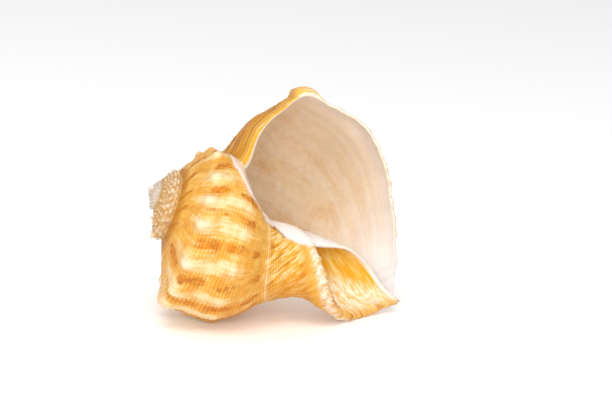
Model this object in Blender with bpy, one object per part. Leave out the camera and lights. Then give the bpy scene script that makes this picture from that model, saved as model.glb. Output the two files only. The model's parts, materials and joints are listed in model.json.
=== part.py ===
"""Seashell of a rapa whelk, one coiled tube with an open mouth, lying on its side.

The shell is worked out in its own frame in millimetres: the axis it coils about is Z, from the tip of the spire
at the origin to the siphonal canal. One outline, drawn in the plane of height and radius, is turned about that
axis while it grows, so each whorl is a larger copy of the one before it. A point of the skin has two numbers:
its place along the outline, counted in rows, and its growth angle, which is 0 at the lip and falls towards the
spire.
"""

from math import log, pi, radians

import bmesh
import bpy
import numpy as np
from mathutils import Matrix, Vector

MM = 0.001

# Growth
WHORL_RATIO = 2.4
WHORLS = 3.8
GROWTH = log(WHORL_RATIO) / (2 * pi)

# Outline at the lip from the shoulder ramp to the mouth of the umbilicus, as height, radius, and the angle in
# degrees by which the lip leads there. The curve starts and ends where the whorl before it lies against it.
RAMP = [(17.9, 24.0, 9.0), (21.9, 32.0, 7.0), (26.9, 39.4, 7.0)]
FLANK = [(35.0, 40.8, 2.0), (47.0, 39.3, 0.0), (57.1, 32.1, 0.0), (63.3, 23.8, -1.0)]
NECK = [(69.0, 19.2, -9.0), (75.3, 15.6, -25.0), (80.5, 14.8, -39.0), (89.0, 16.0, -66.0)]
CREST = [(98.0, 16.3, -90.0), (99.0, 13.8, -88.0)]
FUNNEL = [(88.0, 11.2, -76.0), (74.0, 9.35, -47.0), (60.0, 7.75, -11.0), (48.0, 6.4, 29.0)]
SUTURE_LEAD = 26.0
FUNNEL_LEAD = 50.0
SUTURE = (FLANK[0][0] / WHORL_RATIO, FLANK[0][1] / WHORL_RATIO, SUTURE_LEAD)
FUNNEL_END = (CREST[1][0] / WHORL_RATIO, CREST[1][1] / WHORL_RATIO, FUNNEL_LEAD)
OUTLINE = np.array([SUTURE] + RAMP + FLANK + NECK + CREST + FUNNEL + [FUNNEL_END])

# Places along the outline, counted in its rows
SHOULDER = 3
SUTURE_LINE = 4
SECOND_ROW = 5
CORD = 7.35
CREST_LINE = 13
LAST = len(OUTLINE) - 1

# Wall of the shell: place, thickness
WALL = [(0, 1.3), (4, 1.4), (8, 1.3), (10, 1.0), (12, 0.75), (13, 0.75), (14, 0.85), (16, 1.0), (LAST, 1.0)]
LIP_THINNING = 0.42
LIP_THINNING_TURN = radians(28)

# Relief, with heights in millimetres at the lip's scale
KNOB_HEIGHT = 3.0
SECOND_KNOB_HEIGHT = 1.3
FOLD_HEIGHT = 0.7
FOLD_MEAN = 0.4
CORD_HEIGHT = 0.5
SCALE_HEIGHT = 0.4
SCALE_SPACING = 18.0
KNOBS_PER_TURN = 14
# Angle and size of the knobs on the last whorl, the one at the lip first. The six after that one are on the back
# and under the shell, placed so that it rests steadily. The others follow the photo.
LAST_WHORL_KNOBS = [(1, 1.0), (-37, 0.1), (-53, 0.6), (-78, 0.6), (-104, 0.6), (-139, 1.0), (-164, 0.75),
                    (-188, 0.85), (-209, 0.75), (-236, 0.9), (-264, 0.8), (-282, 0.8), (-303, 0.7), (-333, 0.6),
                    (-362, 0.4)]
SPIRE_KNOB_SIZE = 0.7

# The knob at the lip is flat-topped: the places between which it rises steeply and falls, its height and its width
LIP_KNOB_RISE = (2.74, 2.86)
LIP_KNOB_FALL = (3.3, 3.8)
LIP_KNOB_HEIGHT = 2.1
LIP_KNOB_WIDTH = 4.5

# The ramp swells before the lip: degrees of growth over which it rises and falls, its place, width and height
SWELL_RISE = (-52, -30)
SWELL_FALL = (-22, -7)
SWELL_PLACE = 1.9
SWELL_WIDTH = 4.2
SWELL_HEIGHT = 1.5

# Where the inner lip ends on the whorl before, as place and growth angle. Past it, inside the mouth, that whorl is
# worn in: place and depth, and the degrees over which that comes and goes.
INNER_LIP = [(3.9, -330), (4.3, -322), (4.6, -310), (5.0, -302), (5.5, -299), (6.3, -296), (7.3, -295),
             (8.6, -288), (9.2, -276), (10.2, -255), (10.8, -235), (11.4, -222), (13, -215)]
WORN_IN = [(4.6, 0), (5.3, 4.0), (6.3, 4.2), (7.2, 2.6), (8.4, 1.1), (10.4, 0.9), (11.4, 0)]
WORN_FROM = (0, 15)
WORN_TO = (90, 170)

# Widths of the knobs and folds in degrees of growth, and of what runs round the whorl in millimetres
KNOB_SKIRT = 5.0
KNOB_TIP = 2.6
KNOB_TIP_SHARE = 0.4
FOLD_WIDTH = 6.0
KNOB_LENGTH = 3.2
CORD_WIDTH = 1.6
# Stretches of the outline over which the folds and the ridge's scales come and go
FOLDS_FROM = (0.4, 2.2)
FOLDS_TO = (5.5, 8.2)
SCALES_FROM = (10.6, 11.6)
SCALES_TO = (12.6, 13.0)
# The first whorls are almost smooth: share of the relief there, and the degrees over which it comes in
YOUNG_RELIEF = 0.15
YOUNG_TURN = (200, 500)
# Share of the relief that shows in the lining at the lip, and further in
LINING_RELIEF = (1.0, 0.35)
LINING_RELIEF_TURN = radians(16)
LINING_RELIEF_TO = (9.5, 11)

# Over its last part the suture drops away from the spire, by this much of the outline's rows
SUTURE_DROP = 0.55
DROP_WIDTH = 1.1
DROP_RISE = radians(60)
DROP_FALL = radians(70)

# How the mesh is divided
STEPS = 60
SKIN_PLACES = [0, 0.6, 1.2, 1.8, 2.4, 3, 3.5, 4, 4.5, 5, 5.6, 6.3, 7, 7.4, 8, 8.5, 9, 9.5, 10, 10.5,
               11, 11.5, 12, 12.5, 13, 14, 15, 16, 17, LAST]
LINING_PLACES = [0, 0.6, 1.2, 1.8, 2.4, 3, 3.5, 4, 5, 5.6, 6.3, 7, 8, 9, 10, 11, 12, 12.5, 13,
                 14, 15, 16, 17, LAST]
# Places on the whorl before where the lining meets it
LINING_START = 4.5
LINING_END = 12
# Place where the septum's two sides part at the canal
SEPTUM_TIP = 12.5
CAVITY_TURNS = 290 / 360
FUNNEL_TURNS = 1.3
# Places up to or from which points are drawn to the whorl before, where the two meet
SUTURE_REACH = 1.7
LINING_REACH = 1.9
FUNNEL_REACH = 15
TIP_DOME = -0.75
SMALL = 0.001

SHELL_COLOUR = (0.87, 0.68, 0.40, 1)
SHELL_ROUGHNESS = 0.45
GROUND_SIZE = 0.2

# How the shell lies: its axis dips towards the canal and turns away from the front, and the lip is spun up
DIP = radians(23.8)
YAW = radians(8.2)
SPIN = radians(171.9)
# Depth to which the points it rests on are worn flat
WORN = 0.5


def smooth_step(x, low, high):
    x = np.clip((x - low) / (high - low), 0, 1)
    return x * x * (3 - 2 * x)


def spline(rows, place):
    """Centripetal Catmull-Rom curve through the rows, spaced by their first two columns."""
    p = np.vstack([2 * rows[0] - rows[1], rows, 2 * rows[-1] - rows[-2]])
    place = np.clip(np.asarray(place, float), 0, len(rows) - 1)
    k = np.minimum(place.astype(int), len(rows) - 2)
    a, b, c, d = p[k], p[k + 1], p[k + 2], p[k + 3]
    t1 = np.sqrt(np.linalg.norm((b - a)[..., :2], axis=-1))[..., None]
    t2 = t1 + np.sqrt(np.linalg.norm((c - b)[..., :2], axis=-1))[..., None]
    t3 = t2 + np.sqrt(np.linalg.norm((d - c)[..., :2], axis=-1))[..., None]
    t = t1 + (place - k)[..., None] * (t2 - t1)
    ab = (t1 - t) / t1 * a + t / t1 * b
    bc = (t2 - t) / (t2 - t1) * b + (t - t1) / (t2 - t1) * c
    cd = (t3 - t) / (t3 - t2) * c + (t - t2) / (t3 - t2) * d
    abc = (t2 - t) / t2 * ab + t / t2 * bc
    bcd = (t3 - t) / (t3 - t1) * bc + (t - t1) / (t3 - t1) * cd
    return (t2 - t) / (t2 - t1) * abc + (t - t1) / (t2 - t1) * bcd


FINE_PLACES = np.linspace(0, LAST, 2001)
FINE_OUTLINE = spline(OUTLINE, FINE_PLACES)
FINE_LENGTH = np.concatenate([[0], np.cumsum(np.hypot(*np.diff(FINE_OUTLINE[:, :2], axis=0).T))])


def length_along(place):
    """Distance along the outline in millimetres at the lip's scale."""
    return np.interp(place, FINE_PLACES, FINE_LENGTH)


def near(place, centre, width):
    """1 at a place of the outline, falling off over a width in millimetres."""
    return np.exp(-0.5 * ((length_along(place) - length_along(centre)) / width) ** 2)


def on_spiral(height, radius, angle):
    scale = np.exp(GROWTH * angle)
    return np.stack([scale * radius * np.cos(angle), scale * radius * np.sin(angle), scale * height], -1)


def scale_at(place, growth):
    return np.exp(GROWTH * (growth + np.radians(spline(OUTLINE, place)[..., 2])))


def plain_skin(place, growth):
    """The outer surface with no relief."""
    row = spline(OUTLINE, place)
    return on_spiral(row[..., 0], row[..., 1], growth + np.radians(row[..., 2]))


def plain_lining(place, growth, thickness):
    """The surface of the cavity: the outline moved into the tube by the wall's thickness."""
    row = spline(OUTLINE, place)
    along = spline(OUTLINE, place + SMALL) - spline(OUTLINE, place - SMALL)
    size = np.hypot(along[..., 0], along[..., 1])
    height = row[..., 0] + thickness * along[..., 1] / size
    radius = row[..., 1] - thickness * along[..., 0] / size
    return on_spiral(height, radius, growth + np.radians(row[..., 2]))


def outward(place, growth):
    """Unit normal of the plain skin."""
    along = plain_skin(np.minimum(place + SMALL, LAST), growth) - plain_skin(np.maximum(place - SMALL, 0), growth)
    around = plain_skin(place, growth + SMALL) - plain_skin(place, growth - SMALL)
    normal = np.cross(around, along)
    return normal / np.linalg.norm(normal, axis=-1, keepdims=True)


def all_knobs():
    """Growth angle in degrees and size of every knob: the listed ones, and even ones on the spire."""
    spacing = 360 / KNOBS_PER_TURN
    last = LAST_WHORL_KNOBS[-1][0]
    spire = np.arange(last - spacing, -360 * WHORLS - 60, -spacing)
    knobs = LAST_WHORL_KNOBS + [(angle, SPIRE_KNOB_SIZE) for angle in spire]
    return np.array(knobs) - (RAMP[-1][2], 0)


KNOBS = all_knobs()


def folds(growth, width):
    """The axial folds: each one's size on its line, and 0 between them."""
    away = np.degrees(growth)[..., None] - KNOBS[:, 0]
    return (np.exp(-0.5 * (away / width) ** 2) * KNOBS[:, 1]).sum(-1)


def at_lip(growth):
    """1 at the lip, falling off over the width of the knob there."""
    return np.exp(-0.5 * ((np.degrees(growth) - KNOBS[0, 0]) / LIP_KNOB_WIDTH) ** 2)


def lip_knob(place, growth):
    """Height of the knob at the lip, which the lining doesn't follow."""
    square = smooth_step(place, *LIP_KNOB_RISE) * (1 - smooth_step(place, *LIP_KNOB_FALL))
    return LIP_KNOB_HEIGHT * at_lip(growth) * square


def worn_in(place, growth):
    """Depth by which the whorl before is worn in inside the mouth, at the lip's scale."""
    past = np.interp(place, *zip(*INNER_LIP)) - np.degrees(growth)
    return np.interp(place, *zip(*WORN_IN)) * smooth_step(past, *WORN_FROM) * (1 - smooth_step(past, *WORN_TO))


def relief(place, growth):
    """Height of the surface over the plain skin, at the lip's scale."""
    turned = np.degrees(growth)
    knob = (1 - KNOB_TIP_SHARE) * folds(growth, KNOB_SKIRT) + KNOB_TIP_SHARE * folds(growth, KNOB_TIP)
    ribbed = smooth_step(place, *FOLDS_FROM) * (1 - smooth_step(place, *FOLDS_TO))
    scales = np.abs((turned / SCALE_SPACING) % 1.0 * 2 - 1) - 0.5
    on_fasciole = smooth_step(place, *SCALES_FROM) * (1 - smooth_step(place, *SCALES_TO))
    swell = smooth_step(turned, *SWELL_RISE) * (1 - smooth_step(turned, *SWELL_FALL))
    height = FOLD_HEIGHT * ribbed * (folds(growth, FOLD_WIDTH) - FOLD_MEAN)
    height += KNOB_HEIGHT * knob * near(place, SHOULDER, KNOB_LENGTH) * (1 - at_lip(growth))
    height += SECOND_KNOB_HEIGHT * knob * near(place, SECOND_ROW, KNOB_LENGTH)
    height += SWELL_HEIGHT * swell * near(place, SWELL_PLACE, SWELL_WIDTH)
    height += CORD_HEIGHT * near(place, CORD, CORD_WIDTH)
    height += SCALE_HEIGHT * scales * on_fasciole
    return height - worn_in(place, growth)


class ShellMesh:
    """Triangles of the whole shell, closed, with each whorl sharing its points with the one it lies against."""

    def __init__(self, steps, skin_places, lining_places):
        self.points = []
        self.plain = []
        self.faces = []
        self.steps = steps
        self.u = np.array(skin_places, float)
        self.v = np.array(lining_places, float)
        self.last = round(WHORLS * steps)
        self.turn = (np.arange(self.last + 1) - self.last) * 2 * pi / steps
        lead = spline(OUTLINE, [SUTURE_LINE, CREST_LINE])[:, 2]
        self.a = int(np.argmin(abs(self.u - SUTURE_LINE)))
        self.b = int(np.argmin(abs(self.u - CREST_LINE)))
        self.inner_a = int(np.argmin(abs(self.u - LINING_START)))
        self.inner_b = int(np.argmin(abs(self.u - LINING_END)))
        # Steps between a point of the suture or the funnel and the point of the whorl before that it shares
        self.back_a = steps - round((SUTURE_LEAD - lead[0]) * steps / 360)
        self.back_b = steps - round((FUNNEL_LEAD - lead[1]) * steps / 360)
        self.add_skin()
        self.add_lining()
        self.add_lip()
        self.add_septum()
        self.add_caps()

    def point(self, position, plain):
        self.points.append(position)
        self.plain.append(plain)
        return len(self.points) - 1

    def quad(self, a, b, c, d):
        """Two triangles, split along the shorter diagonal of the plain surface."""
        p = self.plain
        if np.linalg.norm(p[a] - p[c]) <= np.linalg.norm(p[b] - p[d]):
            self.faces += [(a, b, c), (a, c, d)]
        else:
            self.faces += [(a, b, d), (b, c, d)]

    def add_skin(self):
        """The outside, the funnel, and inside the mouth the wall that the last whorl is built on."""
        growth, place = np.meshgrid(self.turn, self.u, indexing="ij")
        place = place + self.drop(place, growth)
        plain = plain_skin(place, growth)
        age = np.degrees(growth - self.turn[0])
        young = YOUNG_RELIEF + (1 - YOUNG_RELIEF) * smooth_step(age, *YOUNG_TURN)
        height = (relief(place, growth) + lip_knob(place, growth)) * scale_at(place, growth) * young
        skin = plain + outward(place, growth) * height[..., None]
        to_suture = 1 - smooth_step(self.u, 0, SUTURE_REACH)
        to_funnel_end = smooth_step(self.u, FUNNEL_REACH, LAST)
        self.ids = np.full(place.shape, -1)
        for i in range(self.last + 1):
            before_a, before_b = i - self.back_a, i - self.back_b
            if before_a >= 0:
                skin[i, : self.a] += to_suture[: self.a, None] * (skin[before_a, self.a] - plain[i, 0])
                self.ids[i, 0] = self.ids[before_a, self.a]
            if before_b >= 0:
                shift = skin[before_b, self.b] - plain[i, -1]
                skin[i, self.b + 1:] += to_funnel_end[self.b + 1:, None] * shift
                self.ids[i, -1] = self.ids[before_b, self.b]
            for j in np.flatnonzero(self.ids[i] < 0):
                self.ids[i, j] = self.point(skin[i, j], plain[i, j])
        self.inner_end = self.last - round(CAVITY_TURNS * self.steps)
        self.funnel_end = self.last - round(FUNNEL_TURNS * self.steps)
        self.wall_start = self.wall_starts()
        for i in range(self.last):
            for j in range(len(self.u) - 1):
                if i >= self.first_row(j):
                    self.quad(self.ids[i + 1, j], self.ids[i + 1, j + 1], self.ids[i, j + 1], self.ids[i, j])

    def drop(self, place, growth):
        """How far points slide along the outline, so that the last suture leaves its line on the whorl before."""
        lip_meets = self.turn[self.last - self.back_a]
        rise = smooth_step(growth, lip_meets - DROP_RISE, lip_meets)
        fall = smooth_step(growth, lip_meets, lip_meets + DROP_FALL)
        spread = np.exp(-0.5 * ((place - SUTURE_LINE) / DROP_WIDTH) ** 2) * (place > 0)
        return SUTURE_DROP * rise * (1 - fall) * spread

    def wall_starts(self):
        """First step of each strip of the wall that the last whorl is built on, along the cavity's inner end."""
        lead = spline(OUTLINE, (self.u[1:] + self.u[:-1]) / 2)[:, 2]
        ahead = (SUTURE_LEAD + FUNNEL_LEAD) / 2 - lead
        start = self.inner_end - self.steps + np.round(ahead * self.steps / 360).astype(int)
        start = np.clip(start, self.inner_end - self.back_a, self.inner_end - self.back_b)
        return np.maximum.accumulate(start)

    def first_row(self, j):
        """First step at which strip j of the outline is part of the surface."""
        if j < self.a:
            return 0
        if j < self.inner_a:
            return self.last - self.back_a
        if j < self.inner_b:
            return self.wall_start[j]
        if j < self.b:
            return self.last - self.back_b
        return self.funnel_end

    def add_lining(self):
        """The inside of the tube, from the septum out to the lip."""
        turn = self.turn[self.inner_end:]
        growth, place = np.meshgrid(turn, self.v, indexing="ij")
        thinning = LIP_THINNING + (1 - LIP_THINNING) * smooth_step(-growth, 0, LIP_THINNING_TURN)
        thickness = np.interp(place, *zip(*WALL)) * thinning
        plain = plain_lining(place, growth, thickness)
        near_lip, inside = LINING_RELIEF
        share = near_lip + (inside - near_lip) * smooth_step(-growth, 0, LINING_RELIEF_TURN)
        share = share * (1 - smooth_step(place, *LINING_RELIEF_TO))
        height = relief(place, growth) * scale_at(place, growth) * share
        lining = plain + outward(place, growth) * height[..., None]
        to_suture = 1 - smooth_step(self.v, 0, LINING_REACH)
        to_funnel_end = smooth_step(self.v, FUNNEL_REACH, LAST)
        self.lining_ids = np.full(place.shape, -1)
        for row, i in enumerate(range(self.inner_end, self.last + 1)):
            first = self.ids[i - self.back_a, self.inner_a]
            final = self.ids[i - self.back_b, self.inner_b]
            shift_a = self.points[first] - lining[row, 0]
            shift_b = self.points[final] - lining[row, -1]
            lining[row] += to_suture[:, None] * shift_a + to_funnel_end[:, None] * shift_b
            self.lining_ids[row, 0] = first
            self.lining_ids[row, -1] = final
            for j in range(1, len(self.v) - 1):
                self.lining_ids[row, j] = self.point(lining[row, j], plain[row, j])
        for row in range(len(turn) - 1):
            for j in range(len(self.v) - 1):
                near_a, near_b = self.lining_ids[row, j], self.lining_ids[row, j + 1]
                far_a, far_b = self.lining_ids[row + 1, j], self.lining_ids[row + 1, j + 1]
                self.quad(near_a, near_b, far_b, far_a)

    def add_lip(self):
        """The edge of the mouth, between the last row of the skin and the last row of the lining."""
        outer = list(zip(self.u, self.ids[-1]))
        after_first = (self.u[1] + self.u[2]) / 2
        inner = [(after_first, k) for k in self.ids[self.last - self.back_a, self.a: self.inner_a + 1]]
        inner += list(zip(self.v[1:], self.lining_ids[-1, 1:]))
        inner += [(LAST, k) for k in self.ids[self.last - self.back_b, self.inner_b + 1: self.b + 1]]
        self.fill_between(inner, outer)

    def add_septum(self):
        """Closes the cavity at its inner end, out of sight."""
        tip = int(np.argmin(abs(self.v - SEPTUM_TIP)))
        outer = list(self.lining_ids[0, : tip + 1])
        inner = [self.ids[self.inner_end - self.back_a, self.inner_a]]
        at = self.inner_end - self.back_a
        for j in range(self.inner_a, self.inner_b):
            inner += list(self.ids[at + 1: self.wall_start[j] + 1, j])
            at = self.wall_start[j]
            inner.append(self.ids[at, j + 1])
        inner += list(self.ids[at + 1: self.inner_end - self.back_b + 1, self.inner_b])
        inner += list(self.lining_ids[0, len(self.v) - 2: tip - 1: -1])
        height = [self.points[k][2] for k in outer], [self.points[k][2] for k in inner]
        outer = list(zip(np.maximum.accumulate(height[0]), outer))
        inner = list(zip(np.maximum.accumulate(height[1]), inner))
        self.fill_between(inner, outer)

    def add_caps(self):
        """The first whorl's rounded tip, and the bottom of the funnel."""
        tip = list(self.ids[: self.back_a, 0]) + list(self.ids[0, self.a: 0: -1])
        self.cap(tip, TIP_DOME)
        bottom = list(self.ids[self.funnel_end - self.back_b: self.funnel_end, self.b])
        bottom += list(self.ids[self.funnel_end, self.b: -1])
        self.cap(bottom[::-1], 0)

    def fill_between(self, left, right):
        """Triangles between two chains of (position, point) that share their ends."""
        i = j = 0
        while i < len(left) - 1 or j < len(right) - 1:
            take_left = j == len(right) - 1 or (i < len(left) - 1 and left[i + 1][0] <= right[j + 1][0])
            if take_left:
                corners = left[i][1], left[i + 1][1], right[j][1]
                i += 1
            else:
                corners = left[i][1], right[j + 1][1], right[j][1]
                j += 1
            if len(set(corners)) == 3:
                self.faces.append(corners)

    def cap(self, loop, height):
        """A dome over a loop, its height a share of its radius."""
        rim = np.array([self.points[k] for k in loop])
        centre = rim.mean(axis=0)
        top = Vector((0, 0, height * np.linalg.norm(rim - centre, axis=1).mean()))
        middle = centre + (rim - centre) * np.sqrt(0.5) + np.array(top) * np.sqrt(0.5)
        ring = [self.point(position, position) for position in middle]
        tip = self.point(centre + np.array(top), centre)
        for k in range(len(loop)):
            after = (k + 1) % len(loop)
            self.faces += [(loop[after], loop[k], ring[k]), (loop[after], ring[k], ring[after])]
            self.faces.append((ring[after], ring[k], tip))


def clear_scene():
    for item in list(bpy.data.objects):
        bpy.data.objects.remove(item)


def shell_material():
    material = bpy.data.materials.new("shell")
    material.use_nodes = True
    surface = material.node_tree.nodes["Principled BSDF"]
    surface.inputs["Base Color"].default_value = SHELL_COLOUR
    surface.inputs["Roughness"].default_value = SHELL_ROUGHNESS
    surface.inputs["Metallic"].default_value = 0
    return material


def build_shell():
    """The shell in its own frame, its origin at the tip of the spire."""
    shell = ShellMesh(STEPS, SKIN_PLACES, LINING_PLACES)
    mesh = bpy.data.meshes.new("shell")
    mesh.from_pydata([Vector(point) * MM for point in shell.points], [], shell.faces)
    cleaner = bmesh.new()
    cleaner.from_mesh(mesh)
    loose = [vertex for vertex in cleaner.verts if not vertex.link_faces]
    bmesh.ops.delete(cleaner, geom=loose, context="VERTS")
    cleaner.to_mesh(mesh)
    cleaner.free()
    mesh.materials.append(shell_material())
    item = bpy.data.objects.new("shell", mesh)
    bpy.context.collection.objects.link(item)
    return item


def lay_down(item):
    """Turns the shell to how it lies and centres it over the ground, its lowest points just below."""
    turn = Matrix.Rotation(YAW, 4, "Z") @ Matrix.Rotation(pi / 2 + DIP, 4, "Y") @ Matrix.Rotation(SPIN, 4, "Z")
    placed = np.array([turn @ vertex.co for vertex in item.data.vertices])
    middle = (placed.min(axis=0) + placed.max(axis=0)) / 2
    lift = -placed[:, 2].min() - WORN * MM
    item.rotation_euler = turn.to_euler()
    item.location = (-middle[0], -middle[1], lift)


def wear_flat(item):
    """Cuts away what is below the ground."""
    bpy.ops.mesh.primitive_cube_add(size=GROUND_SIZE, location=(0, 0, -GROUND_SIZE / 2))
    ground = bpy.context.active_object
    ground.name = "ground"
    ground.hide_render = True
    ground.display_type = "WIRE"
    cut = item.modifiers.new("worn flats", "BOOLEAN")
    cut.operation = "DIFFERENCE"
    cut.solver = "EXACT"
    cut.object = ground


def main():
    clear_scene()
    shell = build_shell()
    shell.data.shade_smooth()
    lay_down(shell)
    wear_flat(shell)


main()
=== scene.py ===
"""A rapa whelk shell on a pale floor: the fine surface of the shell, its colours and its light.

The shell is worked out in its own frame in millimetres, as its solid is: the axis it coils about is Z, from
the tip of the spire at the origin to the canal. One outline, drawn in the plane of height and radius, is
turned about that axis while it grows. A point has a place along the outline, counted in rows, and a growth
angle, which is 0 at the lip and falls towards the spire. The colours follow from those same two numbers.
"""

import json
from functools import reduce
from math import log, pi, radians

import bpy
import numpy as np
from mathutils import Matrix, Vector

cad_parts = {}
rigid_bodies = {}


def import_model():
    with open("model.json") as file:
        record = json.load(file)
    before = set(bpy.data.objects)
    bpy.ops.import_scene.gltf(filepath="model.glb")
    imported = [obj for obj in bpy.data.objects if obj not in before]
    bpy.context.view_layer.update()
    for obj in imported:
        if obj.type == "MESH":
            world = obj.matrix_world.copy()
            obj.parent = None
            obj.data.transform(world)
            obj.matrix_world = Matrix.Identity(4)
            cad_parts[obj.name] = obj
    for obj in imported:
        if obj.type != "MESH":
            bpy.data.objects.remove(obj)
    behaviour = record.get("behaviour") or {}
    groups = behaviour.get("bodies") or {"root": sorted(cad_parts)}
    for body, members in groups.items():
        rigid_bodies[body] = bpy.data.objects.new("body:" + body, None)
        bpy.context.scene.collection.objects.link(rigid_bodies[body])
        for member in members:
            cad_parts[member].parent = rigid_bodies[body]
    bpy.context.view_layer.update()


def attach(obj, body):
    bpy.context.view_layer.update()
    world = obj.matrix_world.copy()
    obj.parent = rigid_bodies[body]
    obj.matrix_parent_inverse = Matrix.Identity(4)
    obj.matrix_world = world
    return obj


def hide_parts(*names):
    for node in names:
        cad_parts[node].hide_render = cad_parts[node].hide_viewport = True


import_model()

# Metres in a millimetre, and the small step by which slopes are measured
MM = 0.001
SMALL = 0.001

# Growth
WHORL_RATIO = 2.4
WHORLS = 3.8
GROWTH = log(WHORL_RATIO) / (2 * pi)

# Outline at the lip from the shoulder ramp to the mouth of the umbilicus, as height, radius, and the angle in
# degrees by which the lip leads there. The curve starts and ends where the whorl before it lies against it.
RAMP = [(17.9, 24.0, 9.0), (21.9, 32.0, 7.0), (26.9, 39.4, 7.0)]
FLANK = [(35.0, 40.8, 2.0), (47.0, 39.3, 0.0), (57.1, 32.1, 0.0), (63.3, 23.8, -1.0)]
NECK = [(69.0, 19.2, -9.0), (75.3, 15.6, -25.0), (80.5, 14.8, -39.0), (89.0, 16.0, -66.0)]
CREST = [(98.0, 16.3, -90.0), (99.0, 13.8, -88.0)]
FUNNEL = [(88.0, 11.2, -76.0), (74.0, 9.35, -47.0), (60.0, 7.75, -11.0), (48.0, 6.4, 29.0)]
SUTURE_LEAD = 26.0
FUNNEL_LEAD = 50.0
SUTURE = (FLANK[0][0] / WHORL_RATIO, FLANK[0][1] / WHORL_RATIO, SUTURE_LEAD)
FUNNEL_END = (CREST[1][0] / WHORL_RATIO, CREST[1][1] / WHORL_RATIO, FUNNEL_LEAD)
OUTLINE = np.array([SUTURE] + RAMP + FLANK + NECK + CREST + FUNNEL + [FUNNEL_END])

# Places along the outline, counted in its rows
SHOULDER = 3
SUTURE_LINE = 4
SECOND_ROW = 5
CORD = 7.35
CREST_LINE = 13
LAST = len(OUTLINE) - 1

# Wall of the shell: place and thickness. At the lip a share of it is left, and the rest comes in over a turn
WALL = [(0, 1.3), (4, 1.4), (8, 1.3), (10, 1.0), (12, 0.75), (13, 0.75), (14, 0.85), (16, 1.0), (LAST, 1.0)]
LIP_THINNING = 0.42
LIP_THINNING_TURN = radians(28)

# Heights below are in millimetres at the lip's scale, widths round the whorl in degrees of growth, and widths
# across it in millimetres. FROM and TO are the places of the outline over which something comes and goes,
# unless stated in degrees. A GRAIN is a noise's cell in millimetres across the whorl and degrees round it.

# Angle and size of the knobs on the last whorl, the one at the lip first. The six after that one are on the
# back and under the shell, placed so that it rests steadily. The others follow the photo. The spire's are
# even, and go on for some degrees past its tip.
LAST_WHORL_KNOBS = [(1, 1.0), (-37, 0.1), (-53, 0.6), (-78, 0.6), (-104, 0.6), (-139, 1.0), (-164, 0.75),
                    (-188, 0.85), (-209, 0.75), (-236, 0.9), (-264, 0.8), (-282, 0.8), (-303, 0.7),
                    (-333, 0.6), (-362, 0.4)]
KNOBS_PER_TURN = 14
SPIRE_KNOB_SIZE = 0.7
KNOBS_PAST_TIP = 60

# A knob is a wide skirt with a narrower tip and a small point on it
KNOB_HEIGHT = 3.2
SECOND_KNOB_HEIGHT = 1.3
KNOB_SKIRT = 5.0
KNOB_TIP = 2.6
KNOB_TIP_SHARE = 0.4
KNOB_LENGTH = 3.2
KNOB_POINT_HEIGHT = 1.1
KNOB_POINT_TURN = 2.0
KNOB_POINT_LENGTH = 1.6

# Folds that run from the knobs across the whorl, and the cord round it
FOLD_HEIGHT = 0.7
FOLD_MEAN = 0.4
FOLD_WIDTH = 6.0
FOLDS_FROM = (0.4, 2.2)
FOLDS_TO = (5.5, 8.2)
CORD_HEIGHT = 0.5
CORD_WIDTH = 1.6

# The knob at the lip is flat-topped: the places between which it rises steeply and falls, height and width
LIP_KNOB_RISE = (2.74, 2.86)
LIP_KNOB_FALL = (3.3, 3.8)
LIP_KNOB_HEIGHT = 2.1
LIP_KNOB_WIDTH = 4.5

# The ramp swells before the lip: degrees of growth over which it rises and falls, its place, width and height
SWELL_RISE = (-52, -30)
SWELL_FALL = (-22, -7)
SWELL_PLACE = 1.9
SWELL_WIDTH = 4.2
SWELL_HEIGHT = 1.5

# Inside the mouth the whorl before is worn in: place and depth, and degrees over which that comes and goes
WORN_IN = [(4.6, 0), (5.3, 4.0), (6.3, 4.2), (7.2, 2.6), (8.4, 1.1), (10.4, 0.9), (11.4, 0)]
WORN_FROM = (0, 15)
WORN_TO = (90, 170)

# Where the glaze of the inner lip ends on the whorl before, as place and growth angle in degrees
GLAZE_EDGE = [(3.9, -330), (4.3, -322), (4.6, -310), (5.0, -302), (5.5, -299), (6.3, -296), (7.3, -295),
              (8.6, -288), (9.2, -276), (10.2, -255), (10.8, -235), (11.4, -222), (13, -215)]
# Its height, the bead along its edge, the share of the relief that it hides, the degrees over which it thins
# out at its edge, and how many degrees and in what lengths that edge wanders
GLAZE_HEIGHT = 0.45
GLAZE_BEAD = 0.25
GLAZE_HIDES = 0.55
GLAZE_FADE = (-0.8, 1.6)
GLAZE_FROM = (4.02, 4.25)
GLAZE_WANDER = 1.6
GLAZE_WANDER_LENGTH = 4

# Spiral threads, every third of them a main one, and growth lines
THREAD_SPACING = 1.75
MAIN_THREAD_SPACING = 3 * THREAD_SPACING
THREAD_HEIGHT = 0.10
THREAD_MEAN = 0.5
MAIN_THREAD_HEIGHT = 0.20
MAIN_THREAD_MEAN = 0.4
THREADS_FROM = (0.3, 1.2)
THREADS_TO = (10.0, 11.4)
GROWTH_LINE_HEIGHT = 0.16
GROWTH_LINE_GRAIN = (22, 2.6)
GROWTH_LINES_TO = (13.0, 14.0)

# Degrees of growth over which the spire's look gives way to the last whorl's
SPIRE_TO = (-430, -370)

# Rows of beads on the spire, the first of them coming in over some degrees of growth. Each row is shifted
# from the one before, and unevenly along itself, in radians. A TURN is a noise's cell in degrees.
BEAD_HEIGHT = 2.4
BEAD_MEAN = 0.2
BEADS_PER_TURN = 25
BEAD_ROW = 3.1 * THREAD_SPACING
BEAD_ROW_SHIFT = 2.1
BEAD_SHIFT = 1.5
BEAD_SHIFT_TURN = 30
BEAD_SHARPNESS = 1.4
BEAD_VARIATION = 0.9
BEAD_VARIATION_TURN = 7
BEADS_FROM = (0.3, 0.9)
BEADS_TO = (3.7, 4.1)
FIRST_BEADS = (-1150, -1000)

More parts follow.
